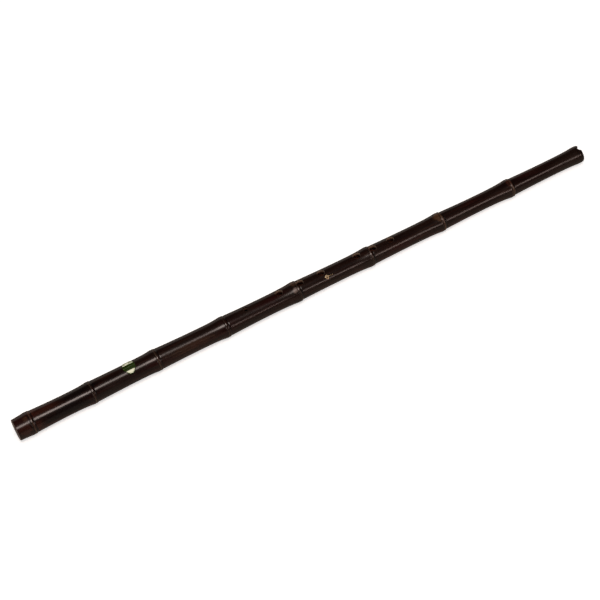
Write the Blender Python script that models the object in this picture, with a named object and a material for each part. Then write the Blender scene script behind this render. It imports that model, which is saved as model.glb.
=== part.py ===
"""A xiao: an end-blown flute cut from one length of dark bamboo, lying on its nodes.

The culm is modelled along its own axis, x running from the foot to the blowing end, with the
finger holes on the +Z side. A parent empty then lays it down: the origin is the middle of its
length, on the surface that it rests on. Angles round the culm start at the finger holes and
grow towards -Y. Lengths are in metres.
"""

import math
from collections import namedtuple

import bmesh
import bpy
from mathutils import Matrix, Vector

# A node is a swelling of the bamboo. stretch is the length of culm from the node before, or
# from the foot, waist the narrowest diameter of that stretch, and crest the diameter at the
# node's sheath scar. drop is how far the radius falls just past the scar, flare the length
# over which it swells before it, and y, z are where the culm's wandering centre lies there.
Node = namedtuple("Node", "stretch waist crest drop flare y z")
NODES = [
    Node(0.0186, 0.0262, 0.0295, 0.00050, 0.0120, 0.00040, 0.00010),
    Node(0.0797, 0.0259, 0.0286, 0.00055, 0.0065, 0.00030, 0.00060),
    Node(0.0867, 0.0259, 0.0281, 0.00050, 0.0060, 0.00125, 0.00085),
    Node(0.0928, 0.0250, 0.0278, 0.00050, 0.0065, 0.00055, 0.00080),
    Node(0.1002, 0.0243, 0.0273, 0.00095, 0.0100, 0.00095, 0.00060),
    Node(0.1027, 0.0234, 0.0263, 0.00100, 0.0085, 0.00020, 0.00045),
    Node(0.1036, 0.0226, 0.0254, 0.00095, 0.0090, 0.00025, 0.00000),
    Node(0.1027, 0.0209, 0.0246, 0.00105, 0.0100, -0.00015, 0.00000),
    Node(0.1025, 0.0205, 0.0230, 0.00035, 0.0100, 0.00000, 0.00000),
]
LIP_LENGTH = 0.0065  # from the last node to the blowing end
OVALITY = 0.01  # the culm is this share wider than round, and as much lower
TAIL_SHARE = 0.7  # a stretch is narrowest this far along it
SHOULDER = 0.0052  # from a sheath scar to where the plain culm begins
GROOVE = (0.0006, 0.30)  # past the scar: how far, and its share of the drop
RIDGE = (0.0023, 0.05)  # the second ridge, given the same way
CREST_ROUND = 0.0030  # the top of a swelling is rounded over about this length
END_ROUND = 0.0012  # rounded edge of both ends
SIDES = 28  # flats round the culm, one of them facing down

# The bore is the bamboo's own hollow, with a low rim left where each node's wall was cut out.
WALL_FOOT = 0.0040
WALL_TOP = 0.0028
RIM_HEIGHT = 0.0004
RIM_WIDTH = 0.0030
# A rim's corners: how far along it, as a share of its width, and how high, of its height.
RIM_CORNERS = [(0.75, 0), (0.4, 1), (-0.4, 1), (-0.75, 0)]

# Rings of corners on each stretch: this far past the lower node, and this far before the upper.
RINGS_PAST = [0.0, GROOVE[0], RIDGE[0], SHOULDER, 0.010, 0.018, 0.032, 0.052]
RINGS_BEFORE = [0.024, 0.014, 0.008, 0.004, 0.0015]
END_STEPS = 3  # rings round each end's rounded edge
SHARP_ANGLE = math.radians(35)  # edges sharper than this aren't shaded smooth

# Holes are counted from the player's end. The first finger hole, the thumb hole and the vent
# holes are given by their distance from the blowing end, and each other finger hole by its step
# from the one before.
FIRST_FINGER_HOLE = 0.2824
FINGER_HOLE_STEPS = [0.0254, 0.0229, 0.0506, 0.0295, 0.0290]
FINGER_HOLE_DIAMETER = 0.0095
LITTLE_FINGER_STEP = 0.0463
LITTLE_FINGER_HOLE_DIAMETER = 0.0065
THUMB_HOLE = 0.2580
THUMB_HOLE_DIAMETER = 0.0090
VENT_HOLES = [0.5580, 0.5910]
VENT_HOLE_DIAMETER = 0.0075
HOLE_SIDES = 20
CUTTER_START = 0.5  # a hole's cutter starts this share of the bore's radius from its middle
CUTTER_MARGIN = 0.0030  # and ends this far outside the culm

# The notch is a round-bottomed slot in the front of the blowing end. Its floor is the edge that
# splits the breath, and the culm is bevelled away outside it.
NOTCH_WIDTH = 0.0098
NOTCH_DEPTH = 0.0026
NOTCH_INTO_WALL = 0.0015  # how far the slot is cut into the node wall, from the bore's side
BEVEL_ANGLE = math.radians(25)
NOTCH_SIDES = 32

NODE_WALL_THICKNESS = 0.0012
NODE_WALL_RECESS = 0.0004  # it lies this far inside the blowing end
GAP = 0.0003  # between two pieces that touch

# The label's middle lies on the line of the finger holes.
LABEL_FROM_FOOT = 0.1517
LABEL_LENGTH = 0.0158
LABEL_HEIGHT = 0.0222
LABEL_THICKNESS = 0.0002
LABEL_SIDES = 32
LABEL_RINGS = [1, 0.8, 0.6, 0.4, 0.2, 0.08]  # its rings of corners, as shares of its outline

MARK_HOLE = 3  # the gilt mark lies beside this finger hole, counted from 0
MARK_PAST_HOLE = 0.0045  # its middle is this much nearer to the blowing end than the hole's
MARK_ANGLE = math.radians(42.5)
LOZENGE_LENGTH = 0.0070
LOZENGE_HEIGHT = 0.0058
STROKE = 0.0010  # width of a gilt stroke
GILT_THICKNESS = 0.0002
CENTRE_DOT = 0.0016
SMALL_DOT = 0.0011
DOT_SPACING = 0.0026
DOT_SIDES = 16
DOTS = 2  # small dots in a row after the lozenge

BAMBOO = ((0.030, 0.011, 0.008), 0.30, 0.0)
CUT_BAMBOO = ((0.120, 0.058, 0.030), 0.55, 0.0)
LABEL_INK = ((0.110, 0.330, 0.060), 0.40, 0.0)
GILT = ((0.800, 0.520, 0.180), 0.35, 1.0)

STATIONS = [sum(node.stretch for node in NODES[: i + 1]) for i in range(len(NODES))]
LENGTH = STATIONS[-1] + LIP_LENGTH
FLAT_TO_CORNER = 1 / math.cos(math.pi / SIDES)
FINGER_HOLES = [
    FIRST_FINGER_HOLE + sum(FINGER_HOLE_STEPS[:i]) for i in range(len(FINGER_HOLE_STEPS) + 1)
]
LITTLE_FINGER_HOLE = FINGER_HOLES[-1] + LITTLE_FINGER_STEP


def clear_scene():
    for obj in list(bpy.data.objects):
        bpy.data.objects.remove(obj, do_unlink=True)


def make_material(name, look):
    colour, roughness, metallic = look
    material = bpy.data.materials.new(name)
    material.use_nodes = True
    shader = material.node_tree.nodes["Principled BSDF"]
    shader.inputs["Base Color"].default_value = (*colour, 1)
    shader.inputs["Roughness"].default_value = roughness
    shader.inputs["Metallic"].default_value = metallic
    return material


def add_object(name, bm, parent, material=None):
    mesh = bpy.data.meshes.new(name)
    bmesh.ops.recalc_face_normals(bm, faces=bm.faces)
    bm.to_mesh(mesh)
    bm.free()
    mesh.shade_smooth()
    mesh.set_sharp_from_angle(angle=SHARP_ANGLE)
    obj = bpy.data.objects.new(name, mesh)
    obj.parent = parent
    bpy.context.collection.objects.link(obj)
    if material:
        mesh.materials.append(material)
    return obj


def mix(a, b, share):
    return a + (b - a) * share


def centre_at(x):
    """The culm's centre (y, z) at x. Each stretch is straight and leans a little from the last."""
    points = [(0.0, 0.0, 0.0)]
    points += [(station, node.y, node.z) for station, node in zip(STATIONS, NODES)]
    points.append((LENGTH, NODES[-1].y, NODES[-1].z))
    for (x0, y0, z0), (x1, y1, z1) in zip(points, points[1:]):
        if x <= x1:
            break
    share = (x - x0) / (x1 - x0)
    return mix(y0, y1, share), mix(z0, z1, share)


def past_scar(node, distance):
    """How far the radius has fallen from the crest, this far past a node's sheath scar."""
    steps = [(0.0, 0.0), GROOVE, RIDGE, (SHOULDER, 1.0)]
    for (x0, fall0), (x1, fall1) in zip(steps, steps[1:]):
        if distance <= x1:
            return node.drop * mix(fall0, fall1, (distance - x0) / (x1 - x0))
    return node.drop


def culm_radius(x):
    """The culm's mean outer radius at x."""
    upper = next((i for i, station in enumerate(STATIONS) if x <= station), None)
    if upper is None:
        return NODES[-1].crest / 2 - past_scar(NODES[-1], x - STATIONS[-1])
    node = NODES[upper]
    waist = node.waist / 2
    before = STATIONS[upper] - x
    swell = (node.crest / 2 - waist) * math.exp(-before**2 / (node.flare * (before + CREST_ROUND)))
    if upper == 0:
        return waist + swell
    lower = NODES[upper - 1]
    distance = x - STATIONS[upper - 1]
    shoulder = lower.crest / 2 - lower.drop - waist
    tail = shoulder * max(0.0, 1 - distance / (TAIL_SHARE * node.stretch)) ** 2
    if distance < SHOULDER:
        tail += lower.drop - past_scar(lower, distance)
    return waist + tail + swell * min(1.0, distance / SHOULDER)


def bore_radius(x):
    """The bore's radius at x, without the rims: the culm's waist less its wall."""
    marks = [(0.0, NODES[0].waist)]
    marks += [(station, node.waist) for station, node in zip(STATIONS, NODES)]
    marks.append((LENGTH, NODES[-1].waist))
    for (x0, waist0), (x1, waist1) in zip(marks, marks[1:]):
        if x <= x1:
            break
    waist = mix(waist0, waist1, (x - x0) / (x1 - x0))
    return waist / 2 - mix(WALL_FOOT, WALL_TOP, x / LENGTH)


def around(x, angle, radius):
    """The point at this angle and mean radius round the culm's centre, on its oval section."""
    y, z = centre_at(x)
    across = y - radius * (1 + OVALITY) * math.sin(angle)
    return Vector((x, across, z + radius * (1 - OVALITY) * math.cos(angle)))


def ring(bm, x, radius):
    half_flat = math.pi / SIDES
    corner = radius * FLAT_TO_CORNER
    return [
        bm.verts.new(around(x, half_flat + math.tau * i / SIDES, corner))
        for i in range(SIDES)
    ]


def join_rings(bm, rings, closed):
    pairs = list(zip(rings, rings[1:]))
    if closed:
        pairs.append((rings[-1], rings[0]))
    for first, second in pairs:
        for i in range(len(first)):
            j = (i + 1) % len(first)
            bm.faces.new((first[i], first[j], second[j], second[i]))


def outer_stations():
    """Where the outside of the culm has a ring of corners."""
    found = [END_ROUND]
    found += [STATIONS[0] - d for d in RINGS_BEFORE if STATIONS[0] - d > END_ROUND]
    for start, end in zip(STATIONS, STATIONS[1:]):
        found += [start + d for d in RINGS_PAST]
        found += [end - d for d in RINGS_BEFORE]
    found += [STATIONS[-1], STATIONS[-1] + GROOVE[0], STATIONS[-1] + RIDGE[0]]
    found.append(LENGTH - END_ROUND)
    return sorted(found)


def rounded_end(x_end, inwards):
    """Rings of a rounded edge, from the end's flat face outwards: (x, radius)."""
    edge = culm_radius(x_end + inwards * END_ROUND)
    rings = []
    for step in range(END_STEPS):
        turn = math.pi / 2 * step / END_STEPS
        depth = END_ROUND * (1 - math.cos(turn))
        rings.append((x_end + inwards * depth, edge - END_ROUND * (1 - math.sin(turn))))
    return rings


def make_culm(parent, material, cutters):
    bm = bmesh.new()
    outline = rounded_end(0.0, 1)
    outline += [(x, culm_radius(x)) for x in outer_stations()]
    outline += reversed(rounded_end(LENGTH, -1))
    outline.append((LENGTH, bore_radius(LENGTH)))
    for station in reversed(STATIONS[:-1]):
        for along, height in RIM_CORNERS:
            x = station + along * RIM_WIDTH
            outline.append((x, bore_radius(x) - height * RIM_HEIGHT))
    outline.append((0.0, bore_radius(0.0)))
    join_rings(bm, [ring(bm, x, radius) for x, radius in outline], closed=True)
    culm = add_object("bamboo_culm", bm, parent, material)
    cut(culm, cutters)
    return culm


def cut(obj, cutters):
    for cutter in cutters:
        modifier = obj.modifiers.new(cutter.name, "BOOLEAN")
        modifier.operation = "DIFFERENCE"
        modifier.object = cutter


def add_cutter(name, bm, parent):
    cutter = add_object(name, bm, parent)
    cutter.hide_render = True
    cutter.display_type = "WIRE"
    return cutter


def round_cutter(bm, base, direction, length, diameter, sides):
    """Adds a rod that starts at base and runs along direction."""
    turn = Vector((0, 0, 1)).rotation_difference(direction).to_matrix().to_4x4()
    place = Matrix.Translation(base + direction * length / 2) @ turn
    bmesh.ops.create_cone(
        bm,
        cap_ends=True,
        segments=sides,
        radius1=diameter / 2,
        radius2=diameter / 2,
        depth=length,
        matrix=place,
    )


def make_hole_cutter(parent):
    """Every round hole in the culm's side: the front ones face +Z, the back ones -Z."""
    front = [(d, FINGER_HOLE_DIAMETER) for d in FINGER_HOLES]
    front.append((LITTLE_FINGER_HOLE, LITTLE_FINGER_HOLE_DIAMETER))
    back = [(THUMB_HOLE, THUMB_HOLE_DIAMETER)]
    back += [(d, VENT_HOLE_DIAMETER) for d in VENT_HOLES]
    bm = bmesh.new()
    for holes, way in ((front, 1), (back, -1)):
        for from_top, diameter in holes:
            x = LENGTH - from_top
            y, z = centre_at(x)
            reach = culm_radius(x) + CUTTER_MARGIN
            start = bore_radius(x) * CUTTER_START
            base = Vector((x, y, z + way * start))
            axis = Vector((0, 0, way))
            round_cutter(bm, base, axis, reach - start, diameter, HOLE_SIDES)
    return add_cutter("side_hole_cutter", bm, parent)


def make_notch_cutters(parent):
    """The slot, and the tilted rod that bevels the culm outside the slot's floor."""
    y, z = centre_at(LENGTH)
    bore = bore_radius(LENGTH)
    radius = NOTCH_WIDTH / 2
    reach = culm_radius(LENGTH) + NOTCH_DEPTH
    floor = LENGTH - NOTCH_DEPTH
    bm = bmesh.new()
    base = Vector((floor + radius, y, z + bore - NOTCH_INTO_WALL))
    round_cutter(bm, base, Vector((0, 0, 1)), reach - base.z, NOTCH_WIDTH, NOTCH_SIDES)
    slot = add_cutter("notch_slot_cutter", bm, parent)
    bm = bmesh.new()
    outwards = Vector((-math.sin(BEVEL_ANGLE), 0, math.cos(BEVEL_ANGLE)))
    across = Vector((math.cos(BEVEL_ANGLE), 0, math.sin(BEVEL_ANGLE)))
    edge = Vector((floor, y, z + bore))
    base = edge + across * radius
    round_cutter(bm, base, outwards, reach, NOTCH_WIDTH, NOTCH_SIDES)
    return slot, add_cutter("notch_bevel_cutter", bm, parent)


def make_node_wall(parent, material, slot):
    bm = bmesh.new()
    front = LENGTH - NODE_WALL_RECESS
    faces = (front, front - NODE_WALL_THICKNESS)
    rings = [ring(bm, x, bore_radius(x) - GAP * FLAT_TO_CORNER) for x in faces]
    join_rings(bm, rings, closed=False)
    for corners in rings:
        bm.faces.new(corners)
    cut(add_object("node_wall", bm, parent, material), [slot])


def on_culm(x, angle, along, height, lift):
    """A point of a flat pattern wrapped on the culm, its middle at x and angle."""
    turn = angle - height / culm_radius(x)
    return around(x + along, turn, culm_radius(x + along) + lift)


def make_wrapped_sheet(name, x, angle, loops, thickness, parent, material, open_middle=False):
    """A thin sheet on the culm. loops are closed outlines of (along, height), outermost first."""
    bm = bmesh.new()
    lifts = (GAP, GAP + thickness)
    under, top = (
        [[bm.verts.new(on_culm(x, angle, *point, lift)) for point in loop] for loop in loops]
        for lift in lifts
    )
    for layer in (under, top):
        join_rings(bm, layer, closed=False)
        if not open_middle:
            bm.faces.new(layer[-1])
    join_rings(bm, [under[0], top[0]], closed=False)
    if open_middle:
        join_rings(bm, [under[-1], top[-1]], closed=False)
    return add_object(name, bm, parent, material)


def oval(length, height, sides, along=0.0):
    return [
        (
            along + length / 2 * math.cos(math.tau * i / sides),
            height / 2 * math.sin(math.tau * i / sides),
        )
        for i in range(sides)
    ]


def lozenge(length, height, steps=4):
    corners = [(length / 2, 0), (0, height / 2), (-length / 2, 0), (0, -height / 2)]
    points = []
    for (x0, y0), (x1, y1) in zip(corners, corners[1:] + corners[:1]):
        points += [(mix(x0, x1, i / steps), mix(y0, y1, i / steps)) for i in range(steps)]
    return points


def make_label(parent, material):
    loops = [oval(LABEL_LENGTH * s, LABEL_HEIGHT * s, LABEL_SIDES) for s in LABEL_RINGS]
    make_wrapped_sheet("oval_label", LABEL_FROM_FOOT, 0, loops, LABEL_THICKNESS, parent, material)


def make_gilt_mark(parent, material):
    x = LENGTH - FINGER_HOLES[MARK_HOLE] + MARK_PAST_HOLE
    outer = (LOZENGE_LENGTH, LOZENGE_HEIGHT)
    slant = math.hypot(*outer)
    inner = [side - 2 * STROKE * slant / other for side, other in zip(outer, reversed(outer))]
    loops = [lozenge(*outer), lozenge(*inner)]
    make_wrapped_sheet(
        "gilt_lozenge", x, MARK_ANGLE, loops, GILT_THICKNESS, parent, material, open_middle=True
    )
    dots = [("gilt_centre_dot", 0.0, CENTRE_DOT)]
    first = LOZENGE_LENGTH / 2 + DOT_SPACING / 2
    dots += [(f"gilt_dot_{i + 1}", first + i * DOT_SPACING, SMALL_DOT) for i in range(DOTS)]
    for name, along, size in dots:
        loop = [oval(size, size, DOT_SIDES, along)]
        make_wrapped_sheet(name, x, MARK_ANGLE, loop, GILT_THICKNESS, parent, material)


def lay_down(axis):
    """Rests the culm on its lowest nodes, with its middle above the origin."""
    low = [
        (station, node.z - node.crest / 2 * (1 - OVALITY))
        for station, node in zip(STATIONS, NODES)
    ]
    (first_x, first_z), rest = low[0], low[1:]
    slope = min((z - first_z) / (x - first_x) for x, z in rest)
    tilt = math.atan(slope)
    half_widths = [(node.y, node.crest / 2 * (1 + OVALITY)) for node in NODES]
    right = max(y + half for y, half in half_widths)
    left = min(y - half for y, half in half_widths)
    axis.rotation_euler = (0, tilt, 0)
    height = first_x * math.sin(tilt) - first_z * math.cos(tilt)
    axis.location = (
        -LENGTH / 2 * math.cos(tilt),
        -(left + right) / 2,
        height,
    )


def build():
    clear_scene()
    axis = bpy.data.objects.new("culm_axis", None)
    bpy.context.collection.objects.link(axis)
    side_holes = make_hole_cutter(axis)
    slot, bevel = make_notch_cutters(axis)
    make_culm(axis, make_material("dark bamboo", BAMBOO), [side_holes, slot, bevel])
    make_node_wall(axis, make_material("cut bamboo", CUT_BAMBOO), slot)
    make_label(axis, make_material("label ink", LABEL_INK))
    make_gilt_mark(axis, make_material("gilt", GILT))
    lay_down(axis)


build()
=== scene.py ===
"""A dark bamboo xiao lying on a pale floor: its visible surfaces, light and camera.

The culm is worked out along its own axis, x running from the foot to the blowing end with the
finger holes on the +Z side, and then laid down on its nodes as the frame has it. Angles round
the culm start at the finger holes and grow towards -Y. Lengths are in metres.
"""

import math
from collections import namedtuple

import bmesh
import bpy
from mathutils import Matrix, Vector, noise


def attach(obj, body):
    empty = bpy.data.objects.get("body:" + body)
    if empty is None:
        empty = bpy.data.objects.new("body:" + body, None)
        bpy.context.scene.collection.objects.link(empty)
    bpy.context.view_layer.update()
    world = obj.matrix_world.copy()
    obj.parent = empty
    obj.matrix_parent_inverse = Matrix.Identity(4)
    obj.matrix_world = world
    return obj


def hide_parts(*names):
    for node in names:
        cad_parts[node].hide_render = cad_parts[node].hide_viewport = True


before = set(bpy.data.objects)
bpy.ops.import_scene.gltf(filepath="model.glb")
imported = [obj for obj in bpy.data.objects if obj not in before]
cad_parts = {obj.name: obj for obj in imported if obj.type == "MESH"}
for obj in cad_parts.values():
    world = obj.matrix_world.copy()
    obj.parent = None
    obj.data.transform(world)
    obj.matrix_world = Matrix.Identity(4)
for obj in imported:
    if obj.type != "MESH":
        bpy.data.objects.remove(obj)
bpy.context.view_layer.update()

# The culm's measures. A node is a swelling of the bamboo: stretch is the length of culm from the
# node before, or from the foot, waist the narrowest diameter of that stretch, and crest the
# diameter at the node's sheath scar. drop is how far the radius falls just past the scar, flare
# the length over which it swells before it, and y, z are where the culm's centre lies there.
Node = namedtuple("Node", "stretch waist crest drop flare y z")
NODES = [
    Node(0.0186, 0.0262, 0.0295, 0.00050, 0.0120, 0.00040, 0.00010),
    Node(0.0797, 0.0259, 0.0286, 0.00055, 0.0065, 0.00030, 0.00060),
    Node(0.0867, 0.0259, 0.0281, 0.00050, 0.0060, 0.00125, 0.00085),
    Node(0.0928, 0.0250, 0.0278, 0.00050, 0.0065, 0.00055, 0.00080),
    Node(0.1002, 0.0243, 0.0273, 0.00095, 0.0100, 0.00095, 0.00060),
    Node(0.1027, 0.0234, 0.0263, 0.00100, 0.0085, 0.00020, 0.00045),
    Node(0.1036, 0.0226, 0.0254, 0.00095, 0.0090, 0.00025, 0.00000),
    Node(0.1027, 0.0209, 0.0246, 0.00105, 0.0100, -0.00015, 0.00000),
    Node(0.1025, 0.0205, 0.0230, 0.00035, 0.0100, 0.00000, 0.00000),
]
LIP_LENGTH = 0.0065  # from the last node to the blowing end
OVALITY = 0.01  # the culm is this share wider than round, and as much lower
TAIL_SHARE = 0.7  # a stretch is narrowest this far along it
SHOULDER = 0.0052  # from a sheath scar to where the plain culm begins
GROOVE = (0.0006, 0.30)  # past the scar: how far, and its share of the drop
RIDGE = (0.0023, 0.05)  # the second ridge, given the same way
CREST_ROUND = 0.0030  # the top of a swelling is rounded over about this length
END_ROUND = 0.0012  # rounded edge of both ends

# The bore is the bamboo's own hollow, with a low rim left where each node's wall was cut out.
WALL_FOOT = 0.0040
WALL_TOP = 0.0028
RIM_HEIGHT = 0.0004
RIM_WIDTH = 0.0030
RIM_FOOT = 0.75  # a rim fades out this share of its width to each side

# Holes are given by their distance from the blowing end.
FINGER_HOLES = [0.2824, 0.3078, 0.3307, 0.3813, 0.4108, 0.4398]
FINGER_HOLE_DIAMETER = 0.0095
LITTLE_FINGER_HOLE = 0.4861
LITTLE_FINGER_HOLE_DIAMETER = 0.0065
THUMB_HOLE = 0.2580
THUMB_HOLE_DIAMETER = 0.0090
VENT_HOLES = [0.5580, 0.5910]
VENT_HOLE_DIAMETER = 0.0075
HOLE_RIM = 0.0006  # rounding of a hole's edge
CUTTER_START = 0.5  # a hole's cutter starts this share of the bore's radius from its middle
CUTTER_ABOVE = 0.0008  # it ends this high above the skin
CUTTER_FLARE = 1.6  # its radius is greater there than the hole's by this many roundings

# The notch is a round-bottomed slot in the front of the blowing end. Its floor is the edge that
# splits the breath, and the culm is bevelled away outside it.
NOTCH_WIDTH = 0.0098
NOTCH_DEPTH = 0.0026
NOTCH_INTO_WALL = 0.0015  # how far the slot is cut into the node wall, from the bore's side
BEVEL_ANGLE = math.radians(25)

NODE_WALL_THICKNESS = 0.0012
NODE_WALL_RECESS = 0.0004  # it lies this far inside the blowing end
NODE_WALL_DISH = 0.0004  # it is this much hollow in the middle
NODE_WALL_CHAMFER = 0.0003
NODE_WALL_RINGS = [0.15, 0.35, 0.6, 0.85, 0.97]  # its rings of points, as shares of its radius
GAP = 0.0003  # between two pieces that touch

# The label's middle lies on the line of the finger holes. Places on it are given from that
# middle: along the culm, towards the blowing end, and round the culm, upwards in the photo.
LABEL_FROM_FOOT = 0.1517
LABEL_LENGTH = 0.0158
LABEL_HEIGHT = 0.0222
LABEL_THICKNESS = 0.0002
LABEL_EDGE = 0.0009  # width of its green edge
LABEL_ROUND = 0.00005  # rounding of that edge
LABEL_FIELD = (-0.0061, 0.0020)  # the dark field's two sides, round the culm
Stripe = namedtuple("Stripe", "start end low high")  # start and end are places along the culm
LABEL_STRIPES = [
    Stripe(0.0012, 0.0058, 0.0034, 0.0052),
    Stripe(-0.0040, 0.0044, 0.0063, 0.0076),
]
LABEL_DOT = (-0.0042, 0.0043)
LABEL_DOT_SIZE = (0.0022, 0.0018)  # length and height
INK = 0.00004  # thickness of a printed layer

MARK_HOLE = 3  # the gilt mark lies beside this finger hole, counted from 0
MARK_PAST_HOLE = 0.0045  # its middle is this much nearer to the blowing end than the hole's
MARK_ANGLE = math.radians(42.5)
LOZENGE_LENGTH = 0.0070
LOZENGE_HEIGHT = 0.0058
STROKE = 0.0010  # width of a gilt stroke
GILT_THICKNESS = 0.0002
GILT_ROUND = 0.0001  # rounding of a stroke's edges
CENTRE_DOT = 0.0016
SMALL_DOT = 0.0011
DOT_SPACING = 0.0026
DOTS = 2  # small dots in a row after the lozenge

# Hollows round each node: where its middle is past the sheath scar, half its width, its depth.
NODE_HOLLOWS = [
    (0.0004, 0.0007, 0.00012),
    (0.0047, 0.0010, 0.00022),
]

# How fine the surfaces are.
ROUND_STEPS = 144  # points round the culm
HOLE_STEPS = 40  # points round a hole
HOLE_RIM_STEPS = 8  # rings over its rounded edge
NOTCH_SIDES = 64
END_STEPS = 8  # rings over the rounded edge of an end
RIM_STEPS = 6  # rings on each side of a bore rim
SHEET_STEPS = 6  # rings from a wrapped sheet's outer loop to its inner one
LABEL_SIDES = 64
FIELD_STEPS = 15  # points along each end of the label's field
BAR_END_STEPS = 12  # points round each end of a stripe
LABEL_DOT_SIDES = 20
LOZENGE_STEPS = 8  # points along each of its sides
DOT_SIDES = 24
# The culm's rings are close together near the nodes, and further apart on the plain culm.
PLAIN_STEP = 0.0032
NODE_STEP = 0.0004
NODE_REACH = 0.0070
SHARP_ANGLE = math.radians(40)  # edges sharper than this aren't shaded smooth

STATIONS = [sum(node.stretch for node in NODES[: i + 1]) for i in range(len(NODES))]
LENGTH = STATIONS[-1] + LIP_LENGTH

# The thin line that the sheath left at each node, from the foot on: how far past the crest it
# lies, and how plainly it shows.
SCARS = [
    (0.0021, 0.42),
    (0.0013, 0.42),
    (0.0012, 0.45),
    (0.0010, 0.20),
    (0.0014, 0.20),
    (0.0012, 0.22),
    (0.0018, 0.25),
    (0.0016, 0.25),
    (0.0, 0.0),
]

# Marks on the skin: the tan and red ones left by the buds and sheaths near the nodes or by uneven
# ageing between them, the pale ones painted highlights on the node beads, and the dark ones
# painted shade along the first stretch. Given are the node, counted from 0 at the foot, the angle
# from the finger holes and half the width in degrees, how far past the node its middle is, half
# its length, its colour and how plainly it shows.
Mark = namedtuple("Mark", "node angle half_width ahead half_length colour strength")
MARKS = [
    Mark(0, -12, 34, 0.0052, 0.0064, "red", 0.9),
    Mark(0, 14, 22, -0.0040, 0.0034, "tan", 0.4),
    Mark(0, 62, 34, -0.0085, 0.0100, "red", 0.4),
    Mark(0, 72, 30, 0.0080, 0.0070, "red", 0.45),
    Mark(0, 12, 26, 0.0200, 0.0240, "red", 0.34),
    # dark: painted shade over the first stretch, above and below
    Mark(0, 8, 30, 0.0660, 0.0280, "dark", 0.7),
    Mark(0, 72, 44, 0.0460, 0.0330, "dark", 0.9),
    Mark(2, 58, 24, 0.0450, 0.0360, "tan", 0.20),
    Mark(4, -8, 26, -0.0006, 0.0042, "tan", 0.8),
    # pale: a painted highlight on the bead of node 4, as are the pale marks on nodes 5 to 7
    Mark(4, 35, 17, -0.0018, 0.0050, "pale", 0.8),
    Mark(5, -4, 34, 0.0070, 0.0060, "red", 0.9),
    Mark(5, 38, 24, 0.0008, 0.0018, "pale", 0.3),
    Mark(6, 4, 44, -0.0014, 0.0062, "tan", 1.0),
    Mark(6, 36, 24, 0.0014, 0.0018, "pale", 0.45),
    Mark(6, 60, 140, 0.0014, 0.0022, "tan", 0.45),
    Mark(7, 6, 34, 0.0006, 0.0046, "red", 0.75),
    Mark(7, 40, 24, 0.0014, 0.0020, "pale", 0.35),
    Mark(7, 60, 140, 0.0014, 0.0028, "tan", 0.45),
]
MARK_RIM = (0.5, 1.1)  # a mark fades between these shares of its half length and half width
MARK_RAG = 0.35  # how far its ragged rim strays, in the same shares
MARK_RAG_GRAIN = (260, 3)  # how fine the rim's rags are: to a metre along, to a radian round
MARK_REACH = 1.5  # the rim and its rags lie within this share
MARK_COLOURS = {
    "tan": ("412B1D", "5C4029"),
    "red": ("35180F", "4E2418"),
    # painted highlight
    "pale": ("6C5B53", "8E7D75"),
    # painted shade
    "dark": ("050202", "0A0504"),
}
SCAR_LINE = (0.0003, 0.0010)  # a scar's line fades between these distances from its middle
SCAR_WOBBLE = 0.0003  # how far the scars and hollows stray from a true circle
WOBBLE_GRAIN = 2  # how fine that wobble is
WOBBLE_STEP = 7.3  # sets each node's wobble apart from the last node's
CREASE_SHADE_CORE = 0.3  # painted shade in a hollow is darkest within this share of its half width
FOOT_RIM_HIGHLIGHT = (0.0003, 0.0009)  # the painted highlight along the foot's rounded rim fades between these distances from it

# The skin gives way to bare bamboo between the first two depths, but not as near as the next two
# distances to either end. Between the last two depths the bamboo is painted brown, as shade
# further in.
BARE_DEPTH = (0.0002, 0.0005)
BARE_FROM_END = (0.006, 0.008)
SHADE_DEPTH = (0.0006, 0.0011)
SKIN_VALUES = ("scar", "crease_shade", "inside", "depth_shade", *MARK_COLOURS)


def mix(a, b, share):
    return a + (b - a) * share


def smooth(edge0, edge1, value):
    """Goes gently from 0 at edge0 to 1 at edge1."""
    share = min(1.0, max(0.0, (value - edge0) / (edge1 - edge0)))
    return share * share * (3 - 2 * share)


def centre_at(x):
    """The culm's centre (y, z) at x. Each stretch is straight and leans a little from the last."""
    points = [(0.0, 0.0, 0.0)]
    points += [(station, node.y, node.z) for station, node in zip(STATIONS, NODES)]
    points.append((LENGTH, NODES[-1].y, NODES[-1].z))
    for (x0, y0, z0), (x1, y1, z1) in zip(points, points[1:]):
        if x <= x1:
            break
    share = (x - x0) / (x1 - x0)
    return mix(y0, y1, share), mix(z0, z1, share)


def past_scar(node, distance):
    """How far the radius has fallen from the crest, this far past a node's sheath scar."""
    steps = [(0.0, 0.0), GROOVE, RIDGE, (SHOULDER, 1.0)]
    for (x0, fall0), (x1, fall1) in zip(steps, steps[1:]):
        if distance <= x1:
            share = smooth(x0, x1, distance)
            return node.drop * mix(fall0, fall1, share)
    return node.drop


def culm_radius(x):
    """The culm's mean outer radius at x."""
    upper = next((i for i, station in enumerate(STATIONS) if x <= station), None)
    if upper is None:
        return NODES[-1].crest / 2 - past_scar(NODES[-1], x - STATIONS[-1])
    node = NODES[upper]
    waist = node.waist / 2
    before = STATIONS[upper] - x
    swell = (node.crest / 2 - waist) * math.exp(-before**2 / (node.flare * (before + CREST_ROUND)))
    if upper == 0:
        return waist + swell
    lower = NODES[upper - 1]
    distance = x - STATIONS[upper - 1]
    shoulder = lower.crest / 2 - lower.drop - waist
    tail = shoulder * max(0.0, 1 - distance / (TAIL_SHARE * node.stretch)) ** 2
    if distance < SHOULDER:
        tail += lower.drop - past_scar(lower, distance)
    return waist + tail + swell * min(1.0, distance / SHOULDER)


def skin_radius(x):
    """The culm's radius with the fine relief of its nodes: a crease at the scar, and another
    where the node's bead ends and the next stretch begins."""
    carved = 0.0
    for station in STATIONS:
        past = x - station
        for middle, width, depth in NODE_HOLLOWS:
            carved = max(carved, depth * (1 - smooth(0.0, width, abs(past - middle))))
    return culm_radius(x) - carved


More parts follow.
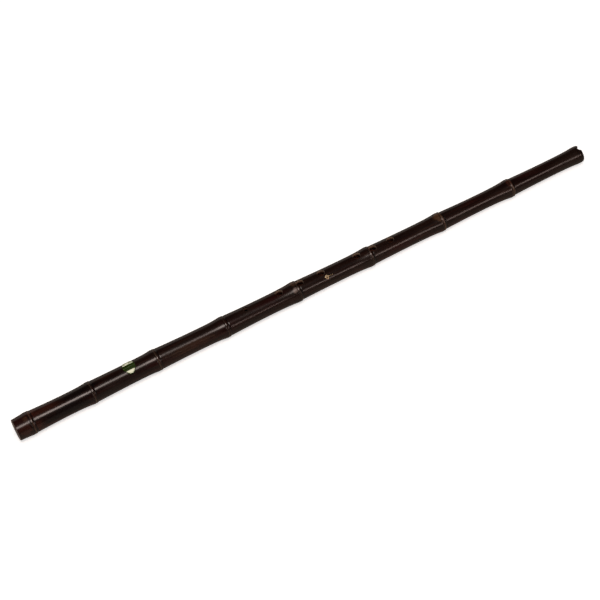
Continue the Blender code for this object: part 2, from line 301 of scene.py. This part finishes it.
def bore_radius(x):
    """The bore's radius at x, without the rims: the culm's waist less its wall."""
    marks = [(0.0, NODES[0].waist)]
    marks += [(station, node.waist) for station, node in zip(STATIONS, NODES)]
    marks.append((LENGTH, NODES[-1].waist))
    for (x0, waist0), (x1, waist1) in zip(marks, marks[1:]):
        if x <= x1:
            break
    waist = mix(waist0, waist1, (x - x0) / (x1 - x0))
    return waist / 2 - mix(WALL_FOOT, WALL_TOP, x / LENGTH)


def around(x, angle, radius):
    """The point at this angle and mean radius round the culm's centre, on its oval section."""
    y, z = centre_at(x)
    across = y - radius * (1 + OVALITY) * math.sin(angle)
    return Vector((x, across, z + radius * (1 - OVALITY) * math.cos(angle)))


def laid_down():
    """The matrix that rests the culm on its lowest nodes, with its middle above the origin."""
    low = [
        (station, node.z - node.crest / 2 * (1 - OVALITY))
        for station, node in zip(STATIONS, NODES)
    ]
    (first_x, first_z), rest = low[0], low[1:]
    tilt = math.atan(min((z - first_z) / (x - first_x) for x, z in rest))
    half_widths = [(node.y, node.crest / 2 * (1 + OVALITY)) for node in NODES]
    right = max(y + half for y, half in half_widths)
    left = min(y - half for y, half in half_widths)
    height = first_x * math.sin(tilt) - first_z * math.cos(tilt)
    place = Vector((-LENGTH / 2 * math.cos(tilt), -(left + right) / 2, height))
    return Matrix.Translation(place) @ Matrix.Rotation(tilt, 4, "Y")


LAID_DOWN = laid_down()


# Materials

def srgb(code):
    """An sRGB hex colour as linear values."""
    values = [int(code[i : i + 2], 16) / 255 for i in (0, 2, 4)]
    linear = [v / 12.92 if v <= 0.04045 else ((v + 0.055) / 1.055) ** 2.4 for v in values]
    return (*linear, 1.0)


def grey(value):
    return (value, value, value, 1.0)


def feed(owner, node, inputs):
    """Gives a node's inputs, by name or number, a value or the output that feeds them."""
    in_use = {socket.name: socket for socket in node.inputs if socket.enabled}
    for name, value in inputs.items():
        socket = in_use[name] if isinstance(name, str) else node.inputs[name]
        if isinstance(value, bpy.types.NodeSocket):
            owner.node_tree.links.new(value, socket)
        else:
            socket.default_value = value


def add_node(owner, kind, inputs=None, stops=(), output=None, **settings):
    """Adds a shader node and returns its output: the named one, or else the first in use. stops
    are a colour ramp's (position, colour) pairs, of which a new ramp holds two."""
    node = owner.node_tree.nodes.new(kind)
    for name, value in settings.items():
        setattr(node, name, value)
    feed(owner, node, inputs or {})
    for _ in stops[2:]:
        node.color_ramp.elements.new(0.5)
    for number, (position, colour) in enumerate(stops):
        node.color_ramp.elements[number].position = position
        node.color_ramp.elements[number].color = colour
    if output:
        return node.outputs[output]
    return next(socket for socket in node.outputs if socket.enabled)


def new_material(name, inputs):
    material = bpy.data.materials.new(name)
    material.use_nodes = True
    shader = material.node_tree.nodes["Principled BSDF"]
    feed(material, shader, inputs)
    return material, shader


def stretched_noise(material, along, across, detail, roughness=0.5):
    """Noise drawn out along the culm. along and across are its real grain, in metres."""
    place = add_node(material, "ShaderNodeTexCoord", output="Object")
    scale = (1 / along, 1 / across, 1 / across)
    drawn_out = add_node(material, "ShaderNodeMapping", {"Vector": place, "Scale": scale})
    grain = {"Vector": drawn_out, "Scale": 1.0, "Detail": detail, "Roughness": roughness}
    return add_node(material, "ShaderNodeTexNoise", grain)


def dark_bamboo():
    """Polished purple-black bamboo: brown streaks along the fibres, cloudy mottling, tan sheath
    scars and bud patches, under a clear oil finish that shows as sharp highlights. Pale patches
    are painted highlights on the node beads and the foot's rim, dark ones painted shade on the
    first stretch, and the node hollows are painted near black as shade. In the finger holes it is
    bare and matt, pale at the skin, as bare bamboo and as a painted highlight on the rims, and
    painted brown further in as shade."""
    material, shader = new_material("polished dark bamboo", {"IOR": 1.45})
    streaks = stretched_noise(material, 0.060, 0.0022, 6, 0.6)
    clouds = stretched_noise(material, 0.045, 0.012, 3)
    stains = stretched_noise(material, 0.070, 0.016, 2)
    fibres = stretched_noise(material, 0.020, 0.0004, 4)
    marks = {
        name: add_node(
            material,
            "ShaderNodeAttribute",
            output="Fac",
            attribute_type="GEOMETRY",
            attribute_name=name,
        )
        for name in SKIN_VALUES
    }
    skin = add_node(material, "ShaderNodeValToRGB", {"Fac": streaks}, [
        (0.30, srgb("100504")),
        (0.48, srgb("180906")),
        (0.60, srgb("220F09")),
        (0.74, srgb("331A11")),
    ])

    # Layers of (share, colour), each over the ones before it.
    cloudy = add_node(material, "ShaderNodeValToRGB", {"Fac": clouds}, [
        (0.42, grey(0)),
        (0.68, grey(0.6)),
    ])
    stained = add_node(material, "ShaderNodeValToRGB", {"Fac": stains}, [
        (0.50, grey(0)),
        (0.66, grey(0.7)),
    ])
    layers = [(cloudy, srgb("20150F")), (stained, srgb("2A0B09"))]
    fibre_share = add_node(material, "ShaderNodeValToRGB", {"Fac": fibres}, [
        (0.30, grey(0.7)),
        (0.62, grey(1.0)),
    ])
    # Tan and red marks are the skin's own colours; pale marks are painted highlights and dark ones
    # painted shade.
    for name, (low, high) in MARK_COLOURS.items():
        factors = {0: marks[name], 1: fibre_share}
        share = add_node(material, "ShaderNodeMath", factors, operation="MULTIPLY")
        colour = add_node(material, "ShaderNodeValToRGB", {"Fac": streaks}, [
            (0.35, srgb(low)),
            (0.65, srgb(high)),
        ])
        layers.append((share, colour))
    # Painted shade: the node hollows are coloured near black.
    layers.append((marks["crease_shade"], srgb("0A0605")))
    faded = add_node(material, "ShaderNodeValToRGB", {"Fac": clouds}, [
        (0.30, grey(0.55)),
        (0.60, grey(1.0)),
    ])
    factors = {0: marks["scar"], 1: faded}
    scar = add_node(material, "ShaderNodeMath", factors, operation="MULTIPLY")
    layers.append((scar, srgb("5A4636")))
    # Bare bamboo, whose pale tone near the skin also stands as a painted highlight on the holes'
    # rims.
    pale = add_node(material, "ShaderNodeValToRGB", {"Fac": fibres}, [
        (0.3, srgb("988876")),
        (0.7, srgb("B4A28C")),
    ])
    # Painted shade: the bare bamboo turns brown further in.
    shaded_deeper = {"Factor": marks["depth_shade"], "A": pale, "B": srgb("623826")}
    bare = add_node(material, "ShaderNodeMix", shaded_deeper, data_type="RGBA")
    layers.append((marks["inside"], bare))
    for share, colour in layers:
        layer = {"Factor": share, "A": skin, "B": colour}
        skin = add_node(material, "ShaderNodeMix", layer, data_type="RGBA")

    polish = add_node(material, "ShaderNodeValToRGB", {"Fac": clouds}, [
        (0.3, grey(0.20)),
        (0.7, grey(0.26)),
    ])
    matt = {"Factor": marks["inside"], "A": polish, "B": grey(0.6)}
    rough = add_node(material, "ShaderNodeMix", matt, data_type="RGBA")
    relief = {"Height": fibres, "Strength": 0.05, "Distance": 0.0003}
    bump = add_node(material, "ShaderNodeBump", relief)
    feed(material, shader, {"Base Color": skin, "Roughness": rough, "Normal": bump})
    return material


def cut_bamboo():
    """End grain of the node wall: oiled brown pith with the darker dots of cut fibre bundles,
    which are drawn 1.1 mm apart, coarser than real ones, so that they show."""
    material, shader = new_material("cut bamboo", {"Roughness": 0.6, "IOR": 1.5})
    place = add_node(material, "ShaderNodeTexCoord", output="Object")
    bundles = add_node(material, "ShaderNodeTexVoronoi", {"Vector": place, "Scale": 1 / 0.0011})
    grain = {"Vector": place, "Scale": 1 / 0.004, "Detail": 3}
    uneven = add_node(material, "ShaderNodeTexNoise", grain)
    pith = add_node(material, "ShaderNodeValToRGB", {"Fac": uneven}, [
        (0.3, srgb("3E2013")),
        (0.7, srgb("6E4428")),
    ])
    dots = add_node(material, "ShaderNodeValToRGB", {"Fac": bundles}, [
        (0.12, grey(1)),
        (0.30, grey(0)),
    ])
    dotted = {"Factor": dots, "A": pith, "B": srgb("24100A")}
    colour = add_node(material, "ShaderNodeMix", dotted, data_type="RGBA")
    relief = {"Height": bundles, "Strength": 0.2, "Distance": 0.0002}
    bump = add_node(material, "ShaderNodeBump", relief)
    feed(material, shader, {"Base Color": colour, "Normal": bump})
    return material


def printed(name, low, high):
    """Printing ink on glossy label paper, a little uneven in tone. The paper's grain softens its
    shine, and is drawn 0.5 mm wide, coarser than a real one, so that it shows."""
    material, shader = new_material(name, {"Roughness": 0.27, "IOR": 1.46})
    blotches = stretched_noise(material, 0.003, 0.003, 4)
    colour = add_node(material, "ShaderNodeValToRGB", {"Fac": blotches}, [
        (0.3, srgb(low)),
        (0.7, srgb(high)),
    ])
    grain = stretched_noise(material, 0.0005, 0.0005, 2)
    relief = {"Height": grain, "Strength": 0.08, "Distance": 0.0001}
    bump = add_node(material, "ShaderNodeBump", relief)
    feed(material, shader, {"Base Color": colour, "Normal": bump})
    return material


def gold_paint():
    """Gold paint in the engraved strokes: brushed on, so a little uneven and satin. The strokes
    of the brush are 0.8 mm wide."""
    material, shader = new_material("gold paint", {"Metallic": 1.0})
    brushed = stretched_noise(material, 0.0008, 0.0008, 3)
    colour = add_node(material, "ShaderNodeValToRGB", {"Fac": brushed}, [
        (0.3, srgb("D9B97E")),
        (0.7, srgb("F6E8C8")),
    ])
    rough = add_node(material, "ShaderNodeValToRGB", {"Fac": brushed}, [
        (0.3, grey(0.28)),
        (0.7, grey(0.45)),
    ])
    relief = {"Height": brushed, "Strength": 0.3, "Distance": 0.0001}
    bump = add_node(material, "ShaderNodeBump", relief)
    feed(material, shader, {"Base Color": colour, "Roughness": rough, "Normal": bump})
    return material


# Shapes

def new_object(name, bm):
    """Turns a shape into an object, laid down as the culm lies in the frame."""
    bmesh.ops.recalc_face_normals(bm, faces=bm.faces)
    mesh = bpy.data.meshes.new(name)
    bm.to_mesh(mesh)
    bm.free()
    mesh.transform(LAID_DOWN)
    obj = bpy.data.objects.new(name, mesh)
    bpy.context.scene.collection.objects.link(obj)
    return obj


def add_piece(name, bm, material, stands_for):
    """Adds a visible piece of the flute, which takes the place of a node of the frame."""
    obj = new_object(name, bm)
    obj.data.shade_smooth()
    obj.data.materials.append(material)
    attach(obj, "root")
    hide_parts(stands_for)
    return obj


def ring(bm, x, radius):
    """A ring of points round the culm."""
    return [
        bm.verts.new(around(x, math.tau * i / ROUND_STEPS, radius))
        for i in range(ROUND_STEPS)
    ]


def join_rings(bm, rings, closed=False):
    """Adds the faces between each ring and the next, and between the last and first if closed."""
    pairs = list(zip(rings, rings[1:]))
    if closed:
        pairs.append((rings[-1], rings[0]))
    for first, second in pairs:
        for i in range(len(first)):
            j = (i + 1) % len(first)
            bm.faces.new((first[i], first[j], second[j], second[i]))


def outer_stations():
    """Where the outside has a ring of points: close together near the nodes."""
    found = [END_ROUND]
    while found[-1] < LENGTH - END_ROUND - NODE_STEP:
        x = found[-1]
        near = min(abs(x - station) for station in STATIONS)
        found.append(x + (NODE_STEP if near < NODE_REACH else PLAIN_STEP))
    found[-1] = LENGTH - END_ROUND
    return found


def rounded_end(x_end, inwards):
    """Rings of a rounded edge, from the end's flat face outwards: (x, radius)."""
    edge = skin_radius(x_end + inwards * END_ROUND)
    rings = []
    for step in range(END_STEPS):
        turn = math.pi / 2 * step / END_STEPS
        depth = END_ROUND * (1 - math.cos(turn))
        rings.append((x_end + inwards * depth, edge - END_ROUND * (1 - math.sin(turn))))
    return rings


def node_marks(x, angle):
    """The strength of the scar, of the painted shade in the node hollows and of each colour of
    mark at this point of the skin.
    """
    scar = crease_shade = 0.0
    colours = dict.fromkeys(MARK_COLOURS, 0.0)
    side = math.cos(angle) * WOBBLE_GRAIN, math.sin(angle) * WOBBLE_GRAIN
    for index, station in enumerate(STATIONS):
        wobble = SCAR_WOBBLE * noise.noise(Vector((index * WOBBLE_STEP, *side)))
        past = x - station - wobble
        ahead, tone = SCARS[index]
        scar = max(scar, tone * (1 - smooth(*SCAR_LINE, abs(past - ahead))))
        # painted shade along each hollow
        for middle, half_width, _ in NODE_HOLLOWS:
            core = CREASE_SHADE_CORE * half_width
            crease_shade = max(crease_shade, 1 - smooth(core, half_width, abs(past - middle)))
        for mark in MARKS:
            if mark.node != index or abs(past - mark.ahead) > MARK_REACH * mark.half_length:
                continue
            turn = abs((math.degrees(angle) - mark.angle + 180) % 360 - 180)
            away = math.hypot(turn / mark.half_width, (past - mark.ahead) / mark.half_length)
            grain_along, grain_round = MARK_RAG_GRAIN
            rag = noise.noise(Vector((x * grain_along, angle * grain_round, index))) * MARK_RAG
            strength = mark.strength * (1 - smooth(*MARK_RIM, away + rag))
            colours[mark.colour] = max(colours[mark.colour], strength)
    return {"scar": scar, "crease_shade": crease_shade, **colours}


def mark_skin(mesh):
    """Stores at each point of the culm how strongly it is marked, bare or brown within, for its
    material; the brown within is painted shade. The bare bamboo is that of the finger holes: the
    little finger's hole has walls as dark as the skin in the photo, as painted shade."""
    inverse = LAID_DOWN.inverted()
    values = {name: [] for name in SKIN_VALUES}
    for vertex in mesh.vertices:
        place = inverse @ vertex.co
        y, z = centre_at(place.x)
        angle = math.atan2(-(place.y - y), place.z - z)
        radius = math.hypot(place.y - y, place.z - z)
        depth = skin_radius(min(max(place.x, 0.0), LENGTH)) - radius
        from_end = min(place.x, LENGTH - place.x)
        inside = smooth(*BARE_DEPTH, depth) * smooth(*BARE_FROM_END, from_end)
        # Painted shade: the little finger's hole keeps the dark skin colour on its walls.
        from_little_hole = abs(place.x - (LENGTH - LITTLE_FINGER_HOLE))
        if depth < WALL_TOP and from_little_hole < LITTLE_FINGER_HOLE_DIAMETER:
            inside = 0.0
        marks = node_marks(place.x, angle)
        # Painted highlight: the foot's rounded rim is coloured pale.
        marks["pale"] = max(marks["pale"], 1 - smooth(*FOOT_RIM_HIGHLIGHT, place.x))
        for name, strength in marks.items():
            values[name].append(strength * (1 - inside))
        values["inside"].append(inside)
        # painted shade deeper in
        values["depth_shade"].append(smooth(*SHADE_DEPTH, depth))
    for name, numbers in values.items():
        attribute = mesh.attributes.new(name, "FLOAT", "POINT")
        attribute.data.foreach_set("value", numbers)


def skin_height(x, across):
    """How high the culm's skin is above its centre line, this far to the side of the holes."""
    radius = culm_radius(x)
    share = min(1.0, abs(across) / (radius * (1 + OVALITY)))
    return radius * (1 - OVALITY) * math.sqrt(1 - share * share)


def add_hole_cutter(bm, x, diameter, way):
    """Adds a rod that flares at the culm's skin, so that it leaves a rounded rim. way is 1 for a
    hole in front and -1 for one behind."""
    y, z = centre_at(x)
    levels = []
    for step in range(HOLE_RIM_STEPS + 1):
        turn = math.pi / 2 * step / HOLE_RIM_STEPS
        wider, lower = HOLE_RIM * (1 - math.cos(turn)), HOLE_RIM * (1 - math.sin(turn))
        levels.append((diameter / 2 + wider, lower))
    levels.append((diameter / 2 + HOLE_RIM * CUTTER_FLARE, -CUTTER_ABOVE))
    angles = [math.tau * i / HOLE_STEPS for i in range(HOLE_STEPS)]
    start = z + way * bore_radius(x) * CUTTER_START
    radius = diameter / 2
    rings = [[
        bm.verts.new((x + radius * math.cos(a), y + radius * math.sin(a), start))
        for a in angles
    ]]
    for radius, below_skin in levels:
        points = []
        for a in angles:
            along, across = x + radius * math.cos(a), radius * math.sin(a)
            height = skin_height(along, across) - below_skin
            points.append(bm.verts.new((along, y + across, z + way * height)))
        rings.append(points)
    join_rings(bm, rings)
    for corners in (rings[0], rings[-1]):
        bm.faces.new(corners)


def add_rod(bm, base, direction, length, diameter):
    """Adds a rod that runs from the middle of its foot, base, in this direction."""
    turn = Vector((0, 0, 1)).rotation_difference(direction).to_matrix().to_4x4()
    bmesh.ops.create_cone(
        bm,
        cap_ends=True,
        segments=NOTCH_SIDES,
        radius1=diameter / 2,
        radius2=diameter / 2,
        depth=length,
        matrix=Matrix.Translation(base + direction * length / 2) @ turn,
    )


def cut_away(obj, *cutters):
    """Subtracts the cutters from obj for good, and removes them."""
    for cutter in cutters:
        modifier = obj.modifiers.new("cut", "BOOLEAN")
        modifier.operation = "DIFFERENCE"
        modifier.solver = "EXACT"
        modifier.object = cutter
    depsgraph = bpy.context.evaluated_depsgraph_get()
    mesh = bpy.data.meshes.new_from_object(obj.evaluated_get(depsgraph))
    obj.modifiers.clear()
    obj.data = mesh
    for cutter in cutters:
        bpy.data.objects.remove(cutter)


def hole_cutter():
    bm = bmesh.new()
    for from_top in FINGER_HOLES:
        add_hole_cutter(bm, LENGTH - from_top, FINGER_HOLE_DIAMETER, 1)
    add_hole_cutter(bm, LENGTH - LITTLE_FINGER_HOLE, LITTLE_FINGER_HOLE_DIAMETER, 1)
    add_hole_cutter(bm, LENGTH - THUMB_HOLE, THUMB_HOLE_DIAMETER, -1)
    for from_top in VENT_HOLES:
        add_hole_cutter(bm, LENGTH - from_top, VENT_HOLE_DIAMETER, -1)
    return new_object("cutter", bm)


def notch_slot():
    """The cutter for the round-bottomed slot in the blowing end."""
    y, z = centre_at(LENGTH)
    start = z + bore_radius(LENGTH) - NOTCH_INTO_WALL
    reach = culm_radius(LENGTH) + NOTCH_DEPTH
    base = Vector((LENGTH - NOTCH_DEPTH + NOTCH_WIDTH / 2, y, start))
    bm = bmesh.new()
    add_rod(bm, base, Vector((0, 0, 1)), reach - base.z, NOTCH_WIDTH)
    return new_object("cutter", bm)


def notch_bevel():
    """The cutter for the bevel outside the slot: a rod of the same width, tilted to the foot."""
    y, z = centre_at(LENGTH)
    reach = culm_radius(LENGTH) + NOTCH_DEPTH
    edge = Vector((LENGTH - NOTCH_DEPTH, y, z + bore_radius(LENGTH)))
    outwards = Vector((-math.sin(BEVEL_ANGLE), 0, math.cos(BEVEL_ANGLE)))
    across = Vector((math.cos(BEVEL_ANGLE), 0, math.sin(BEVEL_ANGLE)))
    base = edge + across * (NOTCH_WIDTH / 2)
    bm = bmesh.new()
    add_rod(bm, base, outwards, reach, NOTCH_WIDTH)
    return new_object("cutter", bm)


def make_culm():
    outline = rounded_end(0.0, 1)
    outline += [(x, skin_radius(x)) for x in outer_stations()]
    outline += reversed(rounded_end(LENGTH, -1))
    outline.append((LENGTH, bore_radius(LENGTH)))
    for station in reversed(STATIONS[:-1]):
        for step in range(-RIM_STEPS, RIM_STEPS + 1):
            x = station - step / RIM_STEPS * RIM_FOOT * RIM_WIDTH
            height = 0.5 + 0.5 * math.cos(math.pi * step / RIM_STEPS)
            outline.append((x, bore_radius(x) - height * RIM_HEIGHT))
    outline.append((0.0, bore_radius(0.0)))
    bm = bmesh.new()
    join_rings(bm, [ring(bm, x, radius) for x, radius in outline], closed=True)
    culm = add_piece("culm", bm, dark_bamboo(), "bamboo_culm")
    cut_away(culm, hole_cutter(), notch_slot(), notch_bevel())
    culm.data.shade_smooth()
    culm.data.set_sharp_from_angle(angle=SHARP_ANGLE)
    mark_skin(culm.data)


def make_node_wall():
    front = LENGTH - NODE_WALL_RECESS
    radius = bore_radius(front) - GAP
    outline = [
        (front - NODE_WALL_DISH * (1 - share) ** 2, radius * share)
        for share in NODE_WALL_RINGS[:-1]
    ]
    outline.append((front, radius * NODE_WALL_RINGS[-1]))
    outline.append((front - NODE_WALL_CHAMFER, radius))
    outline.append((front - NODE_WALL_THICKNESS, radius))
    bm = bmesh.new()
    rings = [ring(bm, x, radius) for x, radius in outline]
    join_rings(bm, rings)
    bm.faces.new(rings[0])
    bm.faces.new(rings[-1])
    wall = add_piece("top_node_wall", bm, cut_bamboo(), "node_wall")
    cut_away(wall, notch_slot())
    wall.data.set_sharp_from_angle(angle=SHARP_ANGLE)


def on_culm(x, angle, along, height, lift):
    """A point of a flat pattern wrapped on the culm, its middle at x and angle."""
    turn = angle - height / culm_radius(x)
    return around(x + along, turn, culm_radius(x + along) + lift)


def wrap_sheet(bm, x, angle, outer, inner, low, high, rounding=0.0):
    """Adds a thin sheet between two loops of (along, height), wrapped on the culm. low and high
    are its faces' heights above the skin, and rounding lowers the edges of the upper one."""
    top = []
    for step in range(SHEET_STEPS + 1):
        share = step / SHEET_STEPS
        lift = high - rounding if step in (0, SHEET_STEPS) else high
        top.append([
            bm.verts.new(on_culm(x, angle, mix(a, c, share), mix(b, d, share), lift))
            for (a, b), (c, d) in zip(outer, inner)
        ])
    under = [
        [bm.verts.new(on_culm(x, angle, *point, low)) for point in loop]
        for loop in (outer, inner)
    ]
    join_rings(bm, top)
    join_rings(bm, [under[0], top[0]])
    join_rings(bm, [under[1], top[-1]])
    join_rings(bm, under)


def oval(length, height, sides, along=0.0):
    return [
        (
            along + length / 2 * math.cos(math.tau * i / sides),
            height / 2 * math.sin(math.tau * i / sides),
        )
        for i in range(sides)
    ]


def lozenge(length, height):
    corners = [(length / 2, 0), (0, height / 2), (-length / 2, 0), (0, -height / 2)]
    points = []
    for (x0, y0), (x1, y1) in zip(corners, corners[1:] + corners[:1]):
        for step in range(LOZENGE_STEPS):
            share = step / LOZENGE_STEPS
            points.append((mix(x0, x1, share), mix(y0, y1, share)))
    return points


def drawn_in(loop, middle=(0.0, 0.0), share=0.01):
    """The loop shrunk to this share round its middle, so that a sheet can end there."""
    return [(mix(middle[0], a, share), mix(middle[1], b, share)) for a, b in loop]


def bar(start, end, low, high):
    """A strip of the label's pattern with round ends."""
    radius = (high - low) / 2
    middle = (low + high) / 2
    points = []
    for centre, turned in ((end - radius, -0.5), (start + radius, 0.5)):
        for step in range(BAR_END_STEPS + 1):
            turn = math.pi * (turned + step / BAR_END_STEPS)
            points.append((centre + radius * math.cos(turn), middle + radius * math.sin(turn)))
    return points


def label_field():
    """The outline of the label's dark field, which reaches from side to side of the oval."""
    low, high = LABEL_FIELD
    points = []
    for side, start, end in ((1, low, high), (-1, high, low)):
        for step in range(FIELD_STEPS + 1):
            height = mix(start, end, step / FIELD_STEPS)
            across = math.sqrt(1 - (2 * height / LABEL_HEIGHT) ** 2)
            points.append((side * LABEL_LENGTH / 2 * across, height))
    return points


def make_label():
    """The stuck-on oval label over the line of the finger holes: cream paper with a dark green
    edge, a dark green field across its middle, and two green stripes and a dot above that."""
    x = LABEL_FROM_FOOT
    top = GAP + LABEL_THICKNESS
    edge = oval(LABEL_LENGTH, LABEL_HEIGHT, LABEL_SIDES)
    inner_edge = oval(LABEL_LENGTH - 2 * LABEL_EDGE, LABEL_HEIGHT - 2 * LABEL_EDGE, LABEL_SIDES)
    bm = bmesh.new()
    wrap_sheet(bm, x, 0, edge, inner_edge, GAP, top, LABEL_ROUND)
    ink = printed("dark green label ink", "1A2A00", "2A4002")
    add_piece("label_border", bm, ink, "oval_label")

    bm = bmesh.new()
    wrap_sheet(bm, x, 0, inner_edge, drawn_in(inner_edge), GAP, top)
    paper = printed("cream label paper", "F2FAD6", "FBFFE8")
    add_piece("label_paper", bm, paper, "oval_label")

    field = label_field()
    # The field's sheet ends in a line along its middle, a little short of its ends.
    spine = [(along * 0.98, sum(LABEL_FIELD) / 2) for along, _ in field]
    bm = bmesh.new()
    wrap_sheet(bm, x, 0, field, spine, top, top + INK)
    add_piece("label_field", bm, ink, "oval_label")

    bm = bmesh.new()
    for stripe in LABEL_STRIPES:
        loop = bar(*stripe)
        middle = (stripe.start + stripe.end) / 2, (stripe.low + stripe.high) / 2
        wrap_sheet(bm, x, 0, loop, drawn_in(loop, middle), top, top + INK)
    along, height = LABEL_DOT
    dot = [(a, b + height) for a, b in oval(*LABEL_DOT_SIZE, LABEL_DOT_SIDES, along)]
    wrap_sheet(bm, x, 0, dot, drawn_in(dot, LABEL_DOT), top, top + INK)
    green = printed("mid green label ink", "5A6A34", "6A7A40")
    add_piece("label_stripe", bm, green, "oval_label")


def make_gilt_mark():
    """The gilt mark beside a finger hole: a lozenge with a dot in it, and a row of small dots."""
    material = gold_paint()
    x = LENGTH - FINGER_HOLES[MARK_HOLE] + MARK_PAST_HOLE
    top = GAP + GILT_THICKNESS
    outer = (LOZENGE_LENGTH, LOZENGE_HEIGHT)
    slant = math.hypot(*outer)
    inner = [side - 2 * STROKE * slant / other for side, other in zip(outer, reversed(outer))]
    bm = bmesh.new()
    wrap_sheet(bm, x, MARK_ANGLE, lozenge(*outer), lozenge(*inner), GAP, top, GILT_ROUND)
    add_piece("gold_lozenge", bm, material, "gilt_lozenge")
    dots = [("centre_dot", 0.0, CENTRE_DOT)]
    first = LOZENGE_LENGTH / 2 + DOT_SPACING / 2
    dots += [(f"dot_{i + 1}", first + i * DOT_SPACING, SMALL_DOT) for i in range(DOTS)]
    for name, along, size in dots:
        loop = oval(size, size, DOT_SIDES, along)
        middle = drawn_in(loop, (along, 0.0), share=0.02)
        bm = bmesh.new()
        wrap_sheet(bm, x, MARK_ANGLE, loop, middle, GAP, top, GILT_ROUND)
        add_piece(f"gold_{name}", bm, material, f"gilt_{name}")


# Floor, light and camera

FLOOR_SIZE = 20.0  # half its side
FLOOR_GLOW = 0.66

# The photo's view, worked out from the node rings: where the camera stands from the flute, the
# way across its picture that the culm runs, how far that is turned from level, the point of the
# culm's centre line that it looks at, and how far to the right of it and above it.
TOWARDS_CAMERA = (-0.2334, -0.6507, 0.7226)
ALONG_PICTURE = (0.9724, -0.1562, 0.1735)
CAMERA_ROLL = math.radians(26.37)
CAMERA_DISTANCE = 2.0763
LOOKED_AT = 0.3821
PAST_RIGHT = 0.00171
PAST_UP = -0.01177
LENS = 101.4  # focal length in millimetres, for a picture 36 mm wide
SENSOR_WIDTH = 36


def make_floor():
    """A plain pale floor, lit from below like a light table. The culm doesn't mirror it, as it
    mirrors none in the photo."""
    bm = bmesh.new()
    bmesh.ops.create_grid(bm, x_segments=1, y_segments=1, size=FLOOR_SIZE)
    mesh = bpy.data.meshes.new("studio floor")
    bm.to_mesh(mesh)
    bm.free()
    glow = {"Emission Color": srgb("FFFFFF"), "Emission Strength": FLOOR_GLOW}
    material, shader = new_material("pale floor paper", {"Roughness": 0.9, **glow})
    place = add_node(material, "ShaderNodeTexCoord", output="Object")
    grain = {"Vector": place, "Scale": 1 / 0.3, "Detail": 2}
    clouds = add_node(material, "ShaderNodeTexNoise", grain)
    colour = add_node(material, "ShaderNodeValToRGB", {"Fac": clouds}, [
        (0.3, srgb("F2F1EF")),
        (0.7, srgb("F5F4F2")),
    ])
    feed(material, shader, {"Base Color": colour})
    mesh.materials.append(material)
    floor = bpy.data.objects.new("studio_floor", mesh)
    floor.visible_glossy = False
    bpy.context.scene.collection.objects.link(floor)


def add_light(name, place, target, along, size, power, colour):
    """A soft box facing target, its long side along the given direction."""
    data = bpy.data.lights.new(name, "AREA")
    data.shape = "RECTANGLE"
    data.size, data.size_y = size
    data.energy = power
    data.color = srgb(colour)[:3]
    light = bpy.data.objects.new(name, data)
    back = (Vector(place) - Vector(target)).normalized()
    side = Vector(along) - back * back.dot(Vector(along))
    side.normalize()
    turn = Matrix((side, back.cross(side), back)).transposed()
    light.matrix_world = Matrix.Translation(Vector(place)) @ turn.to_4x4()
    bpy.context.scene.collection.objects.link(light)
    return light


def make_lights():
    """A soft box over the foot's half and a thin slanting strip give the photo's two streaks,
    a low dim card behind gives the pale line along the top edge, and a wide fill from above,
    which the culm doesn't mirror, brings out the skin's own colours."""
    add_light(
        "soft box",
        place=(-0.285, -0.874, 1.80),
        target=(-0.3, 0, 0),
        along=(1, 0.19, 0.09),
        size=(0.83, 0.54),
        power=14.4,
        colour="FFEDE4",
    )
    add_light(
        "strip",
        place=(0.925, -1.762, 0.905),
        target=(0.2, 0, 0),
        along=(1.05, 0.33, 0.60),
        size=(1.21, 0.26),
        power=5.9,
        colour="FFE1D6",
    )
    add_light(
        "back card",
        place=(0, 2.4, 0.72),
        target=(0, 0, 0),
        along=(1, 0, 0),
        size=(4.0, 1.35),
        power=8,
        colour="FFF1E4",
    )
    fill = add_light(
        "fill",
        place=(0, 0, 3.0),
        target=(0, 0, 0),
        along=(1, 0, 0),
        size=(3.0, 3.0),
        power=29,
        colour="FFFFFF",
    )
    fill.visible_glossy = False


def make_room():
    """A dark room with a dim grey glow from below, where the floor lies."""
    world = bpy.data.worlds.new("studio")
    bpy.context.scene.world = world
    world.use_nodes = True
    direction = add_node(world, "ShaderNodeTexCoord", output="Generated")
    height = add_node(world, "ShaderNodeSeparateXYZ", {"Vector": direction}, output="Z")
    glow = add_node(world, "ShaderNodeValToRGB", {"Fac": height}, [
        (0.0, srgb("81796E")),
        (0.02, grey(0.02)),
    ])
    feed(world, world.node_tree.nodes["Background"], {"Color": glow})


def make_camera():
    """The photo's view: from the front left and above, the culm running up to the right."""
    towards_camera = Vector(TOWARDS_CAMERA).normalized()
    along = Vector(ALONG_PICTURE).normalized()
    across = towards_camera.cross(along)
    right = along * math.cos(CAMERA_ROLL) - across * math.sin(CAMERA_ROLL)
    up = along * math.sin(CAMERA_ROLL) + across * math.cos(CAMERA_ROLL)
    looked_at = LAID_DOWN @ Vector((LOOKED_AT, *centre_at(LOOKED_AT)))
    place = looked_at + towards_camera * CAMERA_DISTANCE + right * PAST_RIGHT + up * PAST_UP
    data = bpy.data.cameras.new("camera")
    data.lens = LENS
    data.sensor_width = SENSOR_WIDTH
    camera = bpy.data.objects.new("camera", data)
    turn = Matrix((right, up, towards_camera)).transposed()
    camera.matrix_world = Matrix.Translation(place) @ turn.to_4x4()
    bpy.context.scene.collection.objects.link(camera)
    bpy.context.scene.camera = camera


make_culm()
make_node_wall()
make_label()
make_gilt_mark()
make_floor()
make_lights()
make_room()
make_camera()
bpy.context.scene.view_settings.view_transform = "Standard"
